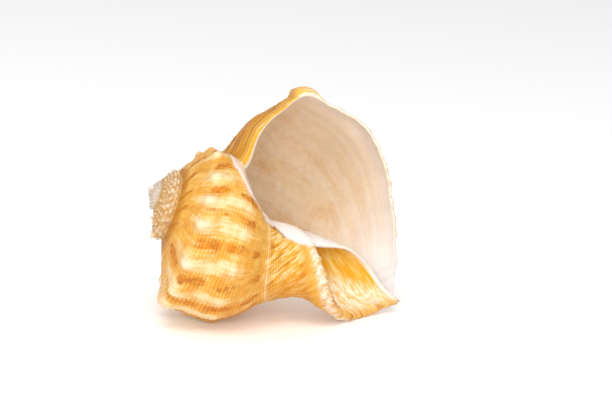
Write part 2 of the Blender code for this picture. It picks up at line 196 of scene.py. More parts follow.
# Ridge round the funnel: its scales, and the uneven lumps of its layers
SCALE_HEIGHT = 0.4
SCALE_SPACING = 18.0
SCALES_FROM = (10.6, 11.6)
SCALES_TO = (12.6, 13.0)
LAMELLA_HEIGHT = 1.3
LAMELLA_MEAN = 0.6
LAMELLA_ROUNDNESS = 0.7
LAMELLA_SPACING = 10.0
LAMELLA_SHIFT = 0.5
LAMELLA_SHIFT_GRAIN = (3, 9)
LAMELLA_STRENGTH = 0.7
LAMELLA_VARIATION = 0.5
LAMELLA_VARIATION_GRAIN = (2.2, 6)
LAMELLAE_FROM = (11.0, 12.4)
LAMELLAE_TO = (13.6, 15.0)

# The lip's edge wanders back and forth: degrees of growth, millimetres along the edge, and seed of the noise.
# It is scalloped at the main threads. Both fade out over a turn, and where the edge meets the shell.
LIP_WANDERS = [(0.9, 5.5, 5), (0.36, 1.7, 6)]
LIP_SCALLOP = 0.35
LIP_TURN = 9
LIP_FREE_FROM = (0.4, 1.6)
LIP_FREE_TO = (13.0, 15.0)

# Streaks lie midway between knobs: share of the gap that they fill, how far they wander in it, the places and
# widths where they break off and by what share, how strong they are, and how much is left on the spire
STREAK_WIDTH = 0.17
STREAK_WANDER = 0.12
STREAK_WANDER_LENGTH = 12
STREAK_BREAKS = [(2.55, 1.6), (4.4, 1.1), (5.75, 0.9), (7.2, 1.8), (10.9, 3.0)]
STREAK_BREAK = 0.85
STREAK_STRENGTH = 0.8
STREAK_VARIATION = 0.45
STREAK_VARIATION_LENGTH = 6
SPIRE_STREAK = 0.15

# Cream ribs on the folds. Pale tips of the knobs: place, strength and width. Pale cord and beads: strength
RIB_WIDTH = 4.6
RIB_STRENGTH = 1.1
RIBS_FROM = (1.0, 2.6)
RIBS_TO = (3.9, 7.0)
PALE_TIPS = [(SHOULDER, 1.0, 1.7), (SECOND_ROW, 0.5, 1.5)]
PALE_CORD = 0.8
PALE_CORD_WIDTH = 0.45
PALE_BEADS = 0.9

# Painted shadow in brown in the slit along the glaze: degrees past the glaze's edge, width, and how faint it
# is before its dark part
SLIT_SHADOW_PAST = -1.4
SLIT_SHADOW_WIDTH = 1.9
SLIT_SHADOW_FROM = (4.5, 5.0)
SLIT_SHADOW_TO = (9.5, 9.9)
FAINT_SLIT_SHADOW = 0.35
DARK_SLIT_SHADOW_FROM = (7.4, 8.2)

# Where other colours begin, in places or in degrees of growth: the wall behind the glaze's edge, the striated
# ramp, the worn first whorls, the ivory ridge and the funnel
BEHIND_GLAZE = (3, 10)
BEHIND_TO = (7.3, 8.8)
STRIATED_TURN = (-150, -50)
STRIATED_TO = (2.6, 4.2)
AGED_TO = (-1000, -620)
RIDGE = 11.7
RIDGE_WIDTH = 3.0
FUNNEL_FROM = (13.0, 13.9)

# The first whorls have less relief: their share of it, and the degrees over which the rest comes in
YOUNG_RELIEF = 0.5
YOUNG_TURN = (200, 500)

# Share of the relief that shows in the lining at the lip, and further in
LINING_RELIEF = (1.0, 0.35)
LINING_RELIEF_TURN = radians(16)
LINING_RELIEF_TO = (9.5, 11)

# Over its last part the suture drops away from the spire: how far and how widely, in rows of the outline, and
# the turns over which that comes and goes
SUTURE_DROP = 0.55
DROP_WIDTH = 1.1
DROP_RISE = radians(60)
DROP_FALL = radians(70)

# How the mesh is divided: steps in a turn, places on the whorl before where the lining meets it, the place
# where the septum's two sides part, distance between points by place, places that always have a line of
# points, and how many turns the cavity and the funnel go back
STEPS = 180
LINING_START = 4.5
LINING_END = 12
SEPTUM_TIP = 12.5
SKIN_SPACING = [(0, 0.66), (3, 0.54), (4.5, 0.54), (9.5, 0.64), (13, 1.2), (LAST, 1.6)]
SKIN_LINES = [0, 1, 2, 3, 4, LINING_START, 6, 7, 8, 9, 10, 11, LINING_END, 12.5, 13, 14, 15, 16, 17, LAST]
LINING_SPACING = [(0, 2.0), (LAST, 2.0)]
LINING_LINES = [0, 1, 2, 3, 4, 5, 6, 7, 8, 9, 10, 11, 12, SEPTUM_TIP, 13, 14, 15, 16, 17, LAST]
CAVITY_TURNS = 290 / 360
FUNNEL_TURNS = 1.3

# Places up to or from which points are drawn to the whorl before, where the two meet
SUTURE_REACH = 1.7
LINING_REACH = 1.9
FUNNEL_REACH = 15

# Height of the tip's dome as a share of its radius, and how far back the lip's outer side takes its colour
TIP_DOME = -0.75
EDGE_STEP_BACK = radians(-1.3)

# Points in the table of the outline's length, and cells of the uneven noise before it repeats
FINE_POINTS = 2001
LATTICE = 64

# How the shell lies
DIP = radians(23.8)
YAW = radians(8.2)
SPIN = radians(171.9)
SPIRE_TIP = (-35.14, -9.05, 36.79)

# Camera: its place in metres, how far it looks down, how far it is rolled, and its lens in millimetres
CAMERA_PLACE = (0.00139, -0.48933, 0.14101)
LOOKS_DOWN = radians(12.5)
ROLL = radians(-3.05)
LENS = 108.94
SENSOR = 36

# Lights: name, place in metres, size and power. Then the world's strength, and the floor's size and own glow
LIGHTS = [("key", (-0.1, -0.6, 0.95), 0.5, 4.2), ("front", (0.0, -1.0, 0.40), 0.6, 5.2)]
WORLD_STRENGTH = 0.72
FLOOR_SIZE = 4
FLOOR_GLOW = 0.08
WHITE = (1, 1, 1, 1)
SPECULAR = 0.24

# Colours of the outside, as six-figure sRGB codes
DEEP_GOLD = "DC9620"
GOLD = "E8AE42"
LINE_OCHRE = "CE8418"
GROOVE_OCHRE = "C47C18"
CREAM = "ECD4A6"
THREAD_CREAM = "F4D48C"
ORANGE_BROWN = "D07C08"
BROWN = "AC5E08"
SPIRE_TAN = "D4AC76"
SPIRE_BROWN = "A8805A"
PALE_TIP = "F0E0C8"
# Painted shade: brown for the crease of the suture
SUTURE_SHADE_BROWN = "B0701C"
RAMP_GOLD = "E09A0C"
RAMP_BROWN = "96560A"
RAMP_YELLOW = "E8AC2C"
NECK_CREAM = "F3DA9E"
NECK_GOLD = "E6A428"
NECK_BROWN = "BC6608"
# Painted shade on the neck's last half turn
NECK_SHADE_OCHRE = "D08A1C"
WORN_WHITE = "E8DACE"
WORN_GREY = "CCB8A4"
IVORY = "F0E0CC"
RIDGE_TAN = "E0B070"
PALE_YOLK = "F6CF7A"
YOLK = "EBA818"
DEEP_YOLK = "DC8E04"
DARK_YOLK = "CF7C06"
FRILL_CREAM = "F6E6CA"
FRILL_GOLD = "ECBE6C"
RIM_WHITE = "F3E8E0"
GLAZE_WHITE = "F1E5DE"
GLAZE_BEIGE = "E4C6A2"
# Painted shadow in the slit along the glaze
SLIT_SHADOW_BROWN = "8E4A10"
EDGE_CREAM = "F6E9D8"
DOT_BROWN = "B4742C"

# Colours of the inside
BEIGE = "EDD2AA"
STAIN_TAN = "E4BC8A"
GREY_CLOUD = "DFCBB0"
LIGHT_CLOUD = "F0DCC0"
BAND_CREAM = "F2E4D6"
LIGHT_FLECK = "F3E6D8"
DARK_FLECK = "CFA77C"
OUTER_BEIGE = "E4D0B8"
RING_BEIGE = "DCC2AC"
LIP_WHITE = "EAE0DA"
CANAL_WHITE = "E9E2DE"


def smooth_step(x, low, high):
    x = np.clip((x - low) / (high - low), 0, 1)
    return x * x * (3 - 2 * x)


def within(x, rise, fall):
    """1 between the range over which it rises and the one over which it falls, and 0 outside them."""
    return smooth_step(x, *rise) * (1 - smooth_step(x, *fall))


def bell(x):
    return np.exp(-0.5 * x ** 2)


def spline(rows, place):
    """Centripetal Catmull-Rom curve through the rows, spaced by their first two columns."""
    p = np.vstack([2 * rows[0] - rows[1], rows, 2 * rows[-1] - rows[-2]])
    place = np.clip(np.asarray(place, float), 0, len(rows) - 1)
    k = np.minimum(place.astype(int), len(rows) - 2)
    a, b, c, d = p[k], p[k + 1], p[k + 2], p[k + 3]
    t1 = np.sqrt(np.linalg.norm((b - a)[..., :2], axis=-1))[..., None]
    t2 = t1 + np.sqrt(np.linalg.norm((c - b)[..., :2], axis=-1))[..., None]
    t3 = t2 + np.sqrt(np.linalg.norm((d - c)[..., :2], axis=-1))[..., None]
    t = t1 + (place - k)[..., None] * (t2 - t1)
    ab = (t1 - t) / t1 * a + t / t1 * b
    bc = (t2 - t) / (t2 - t1) * b + (t - t1) / (t2 - t1) * c
    cd = (t3 - t) / (t3 - t2) * c + (t - t2) / (t3 - t2) * d
    abc = (t2 - t) / t2 * ab + t / t2 * bc
    bcd = (t3 - t) / (t3 - t1) * bc + (t - t1) / (t3 - t1) * cd
    return (t2 - t) / (t2 - t1) * abc + (t - t1) / (t2 - t1) * bcd


FINE_PLACES = np.linspace(0, LAST, FINE_POINTS)
FINE_OUTLINE = spline(OUTLINE, FINE_PLACES)
FINE_LENGTH = np.concatenate([[0], np.cumsum(np.hypot(*np.diff(FINE_OUTLINE[:, :2], axis=0).T))])


def length_along(place):
    """Distance along the outline in millimetres at the lip's scale."""
    return np.interp(place, FINE_PLACES, FINE_LENGTH)


def near(place, centre, width):
    """1 at a place of the outline, falling off over a width in millimetres."""
    return bell((length_along(place) - length_along(centre)) / width)


def divide(spacing, keep):
    """Places along the outline at the spacing stated for each stretch, with certain places among them."""
    found = [0.0]
    for start, end in zip(keep[:-1], keep[1:]):
        gap = np.interp((start + end) / 2, *zip(*spacing))
        first, final = length_along(start), length_along(end)
        count = max(1, round(float(final - first) / gap))
        even = first + (final - first) * np.arange(1, count + 1) / count
        found += list(np.interp(even, FINE_LENGTH, FINE_PLACES)[:-1]) + [float(end)]
    return np.array(found)


def nearest(places, place):
    """Index of the place nearest to one."""
    return int(np.argmin(abs(places - place)))


def on_spiral(height, radius, angle):
    scale = np.exp(GROWTH * angle)
    return np.stack([scale * radius * np.cos(angle), scale * radius * np.sin(angle), scale * height], -1)


def scale_at(place, growth):
    return np.exp(GROWTH * (growth + np.radians(spline(OUTLINE, place)[..., 2])))


def plain_skin(place, growth):
    """The outer surface with no relief."""
    row = spline(OUTLINE, place)
    return on_spiral(row[..., 0], row[..., 1], growth + np.radians(row[..., 2]))


def plain_lining(place, growth, thickness):
    """The surface of the cavity: the outline moved into the tube by the wall's thickness."""
    row = spline(OUTLINE, place)
    along = spline(OUTLINE, place + SMALL) - spline(OUTLINE, place - SMALL)
    size = np.hypot(along[..., 0], along[..., 1])
    height = row[..., 0] + thickness * along[..., 1] / size
    radius = row[..., 1] - thickness * along[..., 0] / size
    return on_spiral(height, radius, growth + np.radians(row[..., 2]))


def outward(place, growth):
    """Unit normal of the plain skin."""
    ahead, behind = np.minimum(place + SMALL, LAST), np.maximum(place - SMALL, 0)
    along = plain_skin(ahead, growth) - plain_skin(behind, growth)
    around = plain_skin(place, growth + SMALL) - plain_skin(place, growth - SMALL)
    normal = np.cross(around, along)
    return normal / np.linalg.norm(normal, axis=-1, keepdims=True)


def all_knobs():
    """Growth angle in degrees and size of every knob: the listed ones, and even ones on the spire."""
    spacing = 360 / KNOBS_PER_TURN
    last = LAST_WHORL_KNOBS[-1][0]
    spire = np.arange(last - spacing, -360 * WHORLS - KNOBS_PAST_TIP, -spacing)
    knobs = LAST_WHORL_KNOBS + [(angle, SPIRE_KNOB_SIZE) for angle in spire]
    return np.array(knobs) - (RAMP[-1][2], 0)


KNOBS = all_knobs()


def folds(growth, width):
    """The axial folds: each one's size on its line, and 0 between them."""
    away = np.degrees(growth)[..., None] - KNOBS[:, 0]
    return (bell(away / width) * KNOBS[:, 1]).sum(-1)


def uneven(x, y, seed):
    """Smooth noise from -1 to 1 over a plane, the same every time."""
    lattice = np.random.default_rng(seed).uniform(-1, 1, (LATTICE, LATTICE))
    i, j = np.floor(x).astype(int), np.floor(y).astype(int)
    s, t = smooth_step(x - i, 0, 1), smooth_step(y - j, 0, 1)

    def corner(a, b):
        return lattice[(i + a) % LATTICE, (j + b) % LATTICE]

    low = corner(0, 0) * (1 - s) + corner(1, 0) * s
    high = corner(0, 1) * (1 - s) + corner(1, 1) * s
    return low * (1 - t) + high * t


def past_glaze_edge(place, growth):
    """Degrees of growth by which a point lies inside the edge of the inner lip's glaze."""
    return np.interp(place, *zip(*GLAZE_EDGE)) - np.degrees(growth)


def glaze_cover(place, growth):
    """1 where the inner lip's glaze lies over the whorl before, and 0 outside it."""
    wander = GLAZE_WANDER * uneven(length_along(place) / GLAZE_WANDER_LENGTH, 0 * place, seed=11)
    over = smooth_step(past_glaze_edge(place, growth) + wander, *GLAZE_FADE)
    return over * smooth_step(place, *GLAZE_FROM) * (place < CREST_LINE + 1)


def worn_in(place, growth):
    """Depth by which the whorl before is worn in inside the mouth, at the lip's scale."""
    return np.interp(place, *zip(*WORN_IN)) * within(past_glaze_edge(place, growth), WORN_FROM, WORN_TO)


def lip_wander(place, growth):
    """Growth angle with the lip's edge made uneven."""
    length = length_along(place)
    back = sum(size * uneven(length / reach, 0 * length, seed) for size, reach, seed in LIP_WANDERS)
    back += LIP_SCALLOP * np.cos(2 * pi * length / MAIN_THREAD_SPACING)
    free = within(place, LIP_FREE_FROM, LIP_FREE_TO)
    return growth + np.radians(back) * free * smooth_step(np.degrees(growth), -LIP_TURN, 0)


def threads(place):
    """Height of the spiral threads."""
    length = length_along(place)
    thread = 0.5 + 0.5 * np.cos(2 * pi * length / THREAD_SPACING)
    main = (0.5 + 0.5 * np.cos(2 * pi * length / MAIN_THREAD_SPACING)) ** 2
    height = THREAD_HEIGHT * (thread - THREAD_MEAN) + MAIN_THREAD_HEIGHT * (main - MAIN_THREAD_MEAN)
    return within(place, THREADS_FROM, THREADS_TO) * height


def beads(place, growth):
    """Rows of beads on the whorls of the spire: about 1 on a bead, and a little below 0 between them."""
    turned = np.degrees(growth)
    row = length_along(place) / BEAD_ROW
    shift = BEAD_ROW_SHIFT * np.floor(row) + BEAD_SHIFT * uneven(turned / BEAD_SHIFT_TURN, row, seed=15)
    bead = 0.5 + 0.5 * np.cos(np.radians(turned) * BEADS_PER_TURN + shift)
    bead = bead * np.sin(pi * (row % 1.0)) ** BEAD_SHARPNESS
    bead = bead * (1 + BEAD_VARIATION * uneven(turned / BEAD_VARIATION_TURN, row, seed=16)) - BEAD_MEAN
    there = (1 - smooth_step(turned, *SPIRE_TO)) * smooth_step(turned, *FIRST_BEADS)
    return bead * there * within(place, BEADS_FROM, BEADS_TO)


def ridge_relief(place, growth):
    """Height of the scales and of the lumpy layers on the ridge round the funnel."""
    turned = np.degrees(growth)
    length = length_along(place)
    scale = np.abs((turned / SCALE_SPACING) % 1.0 * 2 - 1) - 0.5
    across, around = LAMELLA_SHIFT_GRAIN
    shift = LAMELLA_SHIFT * uneven(length / across, turned / around, seed=8)
    lump = np.sin(pi * ((turned / LAMELLA_SPACING + shift) % 1.0)) ** LAMELLA_ROUNDNESS - LAMELLA_MEAN
    across, around = LAMELLA_VARIATION_GRAIN
    lump = lump * (LAMELLA_STRENGTH + LAMELLA_VARIATION * uneven(length / across, turned / around, seed=9))
    height = SCALE_HEIGHT * scale * within(place, SCALES_FROM, SCALES_TO)
    return height + LAMELLA_HEIGHT * lump * within(place, LAMELLAE_FROM, LAMELLAE_TO)


def at_lip(growth):
    """1 at the lip, falling off over the width of the knob there."""
    return bell((np.degrees(growth) - KNOBS[0, 0]) / LIP_KNOB_WIDTH)


def lip_knob(place, growth):
    """Height of the knob at the lip, which the lining doesn't follow."""
    return LIP_KNOB_HEIGHT * at_lip(growth) * within(place, LIP_KNOB_RISE, LIP_KNOB_FALL)


def relief(place, growth):
    """Height of the surface over the plain skin, at the lip's scale."""
    turned = np.degrees(growth)
    before_lip = 1 - at_lip(growth)
    knob = (1 - KNOB_TIP_SHARE) * folds(growth, KNOB_SKIRT) + KNOB_TIP_SHARE * folds(growth, KNOB_TIP)
    point = folds(growth, KNOB_POINT_TURN) * near(place, SHOULDER, KNOB_POINT_LENGTH)
    swell = within(turned, SWELL_RISE, SWELL_FALL) * near(place, SWELL_PLACE, SWELL_WIDTH)
    across, around = GROWTH_LINE_GRAIN
    lines = uneven(turned / around, length_along(place) / across, seed=3)
    height = FOLD_HEIGHT * within(place, FOLDS_FROM, FOLDS_TO) * (folds(growth, FOLD_WIDTH) - FOLD_MEAN)
    height += KNOB_HEIGHT * knob * near(place, SHOULDER, KNOB_LENGTH) * before_lip
    height += KNOB_POINT_HEIGHT * point * before_lip
    height += SECOND_KNOB_HEIGHT * knob * near(place, SECOND_ROW, KNOB_LENGTH)
    height += SWELL_HEIGHT * swell
    height += CORD_HEIGHT * near(place, CORD, CORD_WIDTH)
    height += threads(place)
    height += GROWTH_LINE_HEIGHT * lines * (1 - smooth_step(place, *GROWTH_LINES_TO))
    height += BEAD_HEIGHT * beads(place, growth)
    height += ridge_relief(place, growth)
    cover = glaze_cover(place, growth)
    height *= 1 - GLAZE_HIDES * cover
    height += GLAZE_HEIGHT * cover + 4 * GLAZE_BEAD * cover * (1 - cover)
    return height - worn_in(place, growth)


def streaks(place, growth):
    """The brown streaks, from 0 to 1."""
    turned = np.degrees(growth)
    length = length_along(place)
    lines = np.sort(KNOBS[:, 0])
    gap = np.clip(np.searchsorted(lines, turned), 1, len(lines) - 1)
    phase = (turned - lines[gap - 1]) / (lines[gap] - lines[gap - 1])
    # The second coordinate of each noise only makes it differ from gap to gap
    phase = phase + STREAK_WANDER * uneven(length / STREAK_WANDER_LENGTH, gap * 2.7, seed=21)
    streak = np.exp(-((phase - 0.5) / STREAK_WIDTH) ** 2)
    for centre, width in STREAK_BREAKS:
        streak = streak * (1 - STREAK_BREAK * near(place, centre, width))
    variation = uneven(length / STREAK_VARIATION_LENGTH, gap * 1.9 + 0.5, seed=22)
    streak = streak * (STREAK_STRENGTH + STREAK_VARIATION * variation)
    streak = streak * (SPIRE_STREAK + (1 - SPIRE_STREAK) * smooth_step(turned, *SPIRE_TO))
    return np.clip(streak, 0, 1)


def markings(place, growth):
    """Fields that the colours follow.

    They are streak, rib and glaze, then age, ridge and funnel, then pale, the slit's painted shadow and ramp.
    The glaze is from 0 to 1, and from 1 to 2 on the wall behind its edge.
    """
    turned = np.degrees(growth)
    rib = np.clip(RIB_STRENGTH * folds(growth, RIB_WIDTH), 0, 1) * within(place, RIBS_FROM, RIBS_TO)
    past = past_glaze_edge(place, growth)
    cover = glaze_cover(place, growth)
    behind = cover * smooth_step(past, *BEHIND_GLAZE) * (1 - smooth_step(place, *BEHIND_TO))
    age = 1 - smooth_step(turned, *AGED_TO)
    ridge = np.exp(-0.5 * ((length_along(place) - length_along(RIDGE)) / RIDGE_WIDTH) ** 4)
    funnel = smooth_step(place, *FUNNEL_FROM)
    pale = sum(strength * near(place, centre, width) for centre, strength, width in PALE_TIPS)
    pale = pale * folds(growth, KNOB_TIP) + PALE_CORD * near(place, CORD, PALE_CORD_WIDTH)
    pale = np.clip(pale + PALE_BEADS * beads(place, growth), 0, 1)
    # Painted shadow along the glaze's edge, where the slit between it and the whorl lies in shade
    slit_shadow = np.exp(-((past - SLIT_SHADOW_PAST) / SLIT_SHADOW_WIDTH) ** 2) * within(place, SLIT_SHADOW_FROM, SLIT_SHADOW_TO)
    slit_shadow = slit_shadow * (FAINT_SLIT_SHADOW + (1 - FAINT_SLIT_SHADOW) * smooth_step(place, *DARK_SLIT_SHADOW_FROM))
    ramp = smooth_step(turned, *STRIATED_TURN) * (1 - smooth_step(place, *STRIATED_TO))
    marks = np.stack([streaks(place, growth), rib, cover + behind], -1)
    zones = np.stack([age, ridge, funnel], -1)
    signs = np.stack([pale, slit_shadow, ramp], -1)
    return marks, zones, signs


class ShellMesh:
    """Faces of the whole shell, closed, with each whorl sharing its points with the one it lies against.

    Every face keeps whether it is inside the shell, and the place and growth angle of each of its corners.
    """

    def __init__(self, steps, skin_places, lining_places):
        self.points = []
        self.faces = []
        self.corners = []
        self.inside = []
        self.steps = steps
        self.u = skin_places
        self.v = lining_places
        self.last = round(WHORLS * steps)
        self.turn = (np.arange(self.last + 1) - self.last) * 2 * pi / steps
        # Columns of the skin at the suture, at the crest, and where the lining starts and ends on it
        self.a = nearest(self.u, SUTURE_LINE)
        self.b = nearest(self.u, CREST_LINE)
        self.inner_a = nearest(self.u, LINING_START)
        self.inner_b = nearest(self.u, LINING_END)
        # Steps between a point of the suture or the funnel and the point of the whorl before that it shares
        lead = spline(OUTLINE, [SUTURE_LINE, CREST_LINE])[:, 2]
        self.back_a = steps - round((SUTURE_LEAD - lead[0]) * steps / 360)
        self.back_b = steps - round((FUNNEL_LEAD - lead[1]) * steps / 360)
        self.add_skin()
        self.add_lining()
        self.add_lip()
        self.add_septum()
        self.add_caps()

    def point(self, position):
        self.points.append(position)
        return len(self.points) - 1

    def face(self, corners, at, inside=False):
        self.faces.append(corners)
        self.corners.append(at)
        self.inside.append(inside)

    def add_skin(self):
        """The outside, the funnel, and inside the mouth the wall that the last whorl is built on."""
        growth, place = np.meshgrid(self.turn, self.u, indexing="ij")
        place = place + self.drop(place, growth)
        growth = lip_wander(place, growth)
        plain = plain_skin(place, growth)
        grown = smooth_step(np.degrees(growth - self.turn[0]), *YOUNG_TURN)
        young = YOUNG_RELIEF + (1 - YOUNG_RELIEF) * grown
        height = (relief(place, growth) + lip_knob(place, growth)) * scale_at(place, growth) * young
        skin = plain + outward(place, growth) * height[..., None]
        to_suture = 1 - smooth_step(self.u, 0, SUTURE_REACH)
        to_funnel_end = smooth_step(self.u, FUNNEL_REACH, LAST)
        self.ids = np.full(place.shape, -1)
        for i in range(self.last + 1):
            before_a, before_b = i - self.back_a, i - self.back_b
            if before_a >= 0:
                skin[i, : self.a] += to_suture[: self.a, None] * (skin[before_a, self.a] - plain[i, 0])
                self.ids[i, 0] = self.ids[before_a, self.a]
            if before_b >= 0:
                shift = skin[before_b, self.b] - plain[i, -1]
                skin[i, self.b + 1:] += to_funnel_end[self.b + 1:, None] * shift
                self.ids[i, -1] = self.ids[before_b, self.b]
            for j in np.flatnonzero(self.ids[i] < 0):
                self.ids[i, j] = self.point(skin[i, j])
        self.inner_end = self.last - round(CAVITY_TURNS * self.steps)
        self.funnel_end = self.last - round(FUNNEL_TURNS * self.steps)
        self.wall_start = self.wall_starts()
        at = np.stack([place, growth], -1)
        for i in range(self.last):
            for j in range(len(self.u) - 1):
                if i >= self.first_row(j):
                    ring = ((i + 1, j), (i + 1, j + 1), (i, j + 1), (i, j))
                    self.face([self.ids[k] for k in ring], [at[k] for k in ring])

    def drop(self, place, growth):
        """How far points slide along the outline, so the last suture leaves its line on the whorl before."""
        lip_meets = self.turn[self.last - self.back_a]
        there = within(growth, (lip_meets - DROP_RISE, lip_meets), (lip_meets, lip_meets + DROP_FALL))
        return SUTURE_DROP * there * bell((place - SUTURE_LINE) / DROP_WIDTH) * (place > 0)

    def wall_starts(self):
        """First step of each strip of the wall under the last whorl, along the cavity's inner end."""
        lead = spline(OUTLINE, (self.u[1:] + self.u[:-1]) / 2)[:, 2]
        ahead = (SUTURE_LEAD + FUNNEL_LEAD) / 2 - lead
        start = self.inner_end - self.steps + np.round(ahead * self.steps / 360).astype(int)
        start = np.clip(start, self.inner_end - self.back_a, self.inner_end - self.back_b)
        return np.maximum.accumulate(start)

    def first_row(self, j):
        """First step at which strip j of the outline is part of the surface."""
        if j < self.a:
            return 0
        if j < self.inner_a:
            return self.last - self.back_a
        if j < self.inner_b:
            return self.wall_start[j]
        if j < self.b:
            return self.last - self.back_b
        return self.funnel_end

    def add_lining(self):
        """The inside of the tube, from the septum out to the lip."""
        turn = self.turn[self.inner_end:]
        growth, place = np.meshgrid(turn, self.v, indexing="ij")
        growth = lip_wander(place, growth)
        thinning = LIP_THINNING + (1 - LIP_THINNING) * smooth_step(-growth, 0, LIP_THINNING_TURN)
        thickness = np.interp(place, *zip(*WALL)) * thinning
        plain = plain_lining(place, growth, thickness)
        share = np.interp(smooth_step(-growth, 0, LINING_RELIEF_TURN), (0, 1), LINING_RELIEF)
        share = share * (1 - smooth_step(place, *LINING_RELIEF_TO))
        height = relief(place, growth) * scale_at(place, growth) * share
        lining = plain + outward(place, growth) * height[..., None]
        to_suture = 1 - smooth_step(self.v, 0, LINING_REACH)
        to_funnel_end = smooth_step(self.v, FUNNEL_REACH, LAST)
        self.lining_ids = np.full(place.shape, -1)
        for row, i in enumerate(range(self.inner_end, self.last + 1)):
            first = self.ids[i - self.back_a, self.inner_a]
            final = self.ids[i - self.back_b, self.inner_b]
            shift_a = self.points[first] - lining[row, 0]
            shift_b = self.points[final] - lining[row, -1]
            lining[row] += to_suture[:, None] * shift_a + to_funnel_end[:, None] * shift_b
            self.lining_ids[row, 0] = first
            self.lining_ids[row, -1] = final
            for j in range(1, len(self.v) - 1):
                self.lining_ids[row, j] = self.point(lining[row, j])
        at = np.stack([place, growth], -1)
        for row in range(len(turn) - 1):
            for j in range(len(self.v) - 1):
                ring = ((row, j), (row, j + 1), (row + 1, j + 1), (row + 1, j))
                self.face([self.lining_ids[k] for k in ring], [at[k] for k in ring], inside=True)

    def add_lip(self):
        """The edge of the mouth, between the last row of the skin and the last row of the lining."""
        outer = list(zip(self.u, self.ids[-1]))
        after_first = (self.u[1] + self.u[2]) / 2
        inner = [(after_first, k) for k in self.ids[self.last - self.back_a, self.a: self.inner_a + 1]]
        inner += list(zip(self.v[1:], self.lining_ids[-1, 1:]))
        inner += [(LAST, k) for k in self.ids[self.last - self.back_b, self.inner_b + 1: self.b + 1]]
        self.fill_between(inner, outer, 0.0, step_back=EDGE_STEP_BACK)

    def add_septum(self):
        """Closes the cavity at its inner end, out of sight."""
        tip = nearest(self.v, SEPTUM_TIP)
        outer = list(self.lining_ids[0, : tip + 1])
        inner = [self.ids[self.inner_end - self.back_a, self.inner_a]]
        at = self.inner_end - self.back_a
        for j in range(self.inner_a, self.inner_b):
            inner += list(self.ids[at + 1: self.wall_start[j] + 1, j])
            at = self.wall_start[j]
            inner.append(self.ids[at, j + 1])
        inner += list(self.ids[at + 1: self.inner_end - self.back_b + 1, self.inner_b])
        inner += list(self.lining_ids[0, len(self.v) - 2: tip - 1: -1])
        height = [self.points[k][2] for k in outer], [self.points[k][2] for k in inner]
        outer = list(zip(np.maximum.accumulate(height[0]), outer))
        inner = list(zip(np.maximum.accumulate(height[1]), inner))
        self.fill_between(inner, outer, self.turn[self.inner_end], inside=True)

    def add_caps(self):
        """The first whorl's rounded tip, and the bottom of the funnel."""
        tip = list(self.ids[: self.back_a, 0]) + list(self.ids[0, self.a: 0: -1])
        self.cap(tip, TIP_DOME, (SHOULDER, self.turn[0]))
        bottom = list(self.ids[self.funnel_end - self.back_b: self.funnel_end, self.b])
        bottom += list(self.ids[self.funnel_end, self.b: -1])
        self.cap(bottom[::-1], 0, (LAST, self.turn[self.funnel_end]))

    def fill_between(self, left, right, growth, inside=False, step_back=0.0):
        """Triangles between two chains of (position, point) that share their ends.

        Points that are only in the right chain are put back in growth, for their colour.
        """
        of_left = {k for position, k in left}
        i = j = 0
        while i < len(left) - 1 or j < len(right) - 1:
            take_left = j == len(right) - 1 or (i < len(left) - 1 and left[i + 1][0] <= right[j + 1][0])
            if take_left:
                ring = left[i], left[i + 1], right[j]
                i += 1
            else:
                ring = left[i], right[j + 1], right[j]
                j += 1
            corners = [k for position, k in ring]
            if len(set(corners)) == 3:
                at = [(min(position, LAST), growth + (k not in of_left) * step_back) for position, k in ring]
                self.face(corners, at, inside)

    def cap(self, loop, height, at):
        """A dome over a loop, its height a share of its radius."""
        rim = np.array([self.points[k] for k in loop])
        centre = rim.mean(axis=0)
        top = np.array((0, 0, height * np.linalg.norm(rim - centre, axis=1).mean()))
        middle = centre + (rim - centre + top) * np.sqrt(0.5)
        ring = [self.point(position) for position in middle]
        tip = self.point(centre + top)
        for k in range(len(loop)):
            after = (k + 1) % len(loop)
            self.face([loop[after], loop[k], ring[k], ring[after]], [at] * 4)
            self.face([ring[after], ring[k], tip], [at] * 3)


# How the shell lies, as the frame's solid does
TURN = Matrix.Rotation(YAW, 4, "Z") @ Matrix.Rotation(pi / 2 + DIP, 4, "Y") @ Matrix.Rotation(SPIN, 4, "Z")


def add_shell():
    """The whole shell as one mesh with its colour fields, in place of the frame's solid."""
    shell = ShellMesh(STEPS, divide(SKIN_SPACING, SKIN_LINES), divide(LINING_SPACING, LINING_LINES))
    points = (np.array(shell.points) @ np.array(TURN.to_3x3()).T + SPIRE_TIP) * MM
    points[:, 2] = np.maximum(points[:, 2], 0)
    mesh = bpy.data.meshes.new("shell_surface")
    mesh.from_pydata(points, [], shell.faces)
    corners = np.array([corner for face in shell.corners for corner in face], float)
    place, growth = corners.T
    grown = np.stack([place, np.degrees(growth), length_along(place)], -1)
    for name, values in zip(("grown", "marks", "zones", "signs"), (grown, *markings(place, growth))):
        field = mesh.attributes.new(name, "FLOAT_VECTOR", "CORNER")
        field.data.foreach_set("vector", values.astype(np.float32).ravel())
    mesh.shade_smooth()
    piece = bpy.data.objects.new("shell_surface", mesh)
    bpy.context.collection.objects.link(piece)
    mesh.materials.append(outside_material())
    mesh.materials.append(inside_material())
    mesh.polygons.foreach_set("material_index", [int(inside) for inside in shell.inside])
    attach(piece, "root")
    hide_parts("shell")


def colour(code):
    """Linear colour of a six-figure sRGB code."""
    parts = [int(code[k: k + 2], 16) / 255 for k in (0, 2, 4)]
    return tuple(c / 12.92 if c <= 0.04045 else ((c + 0.055) / 1.055) ** 2.4 for c in parts) + (1,)


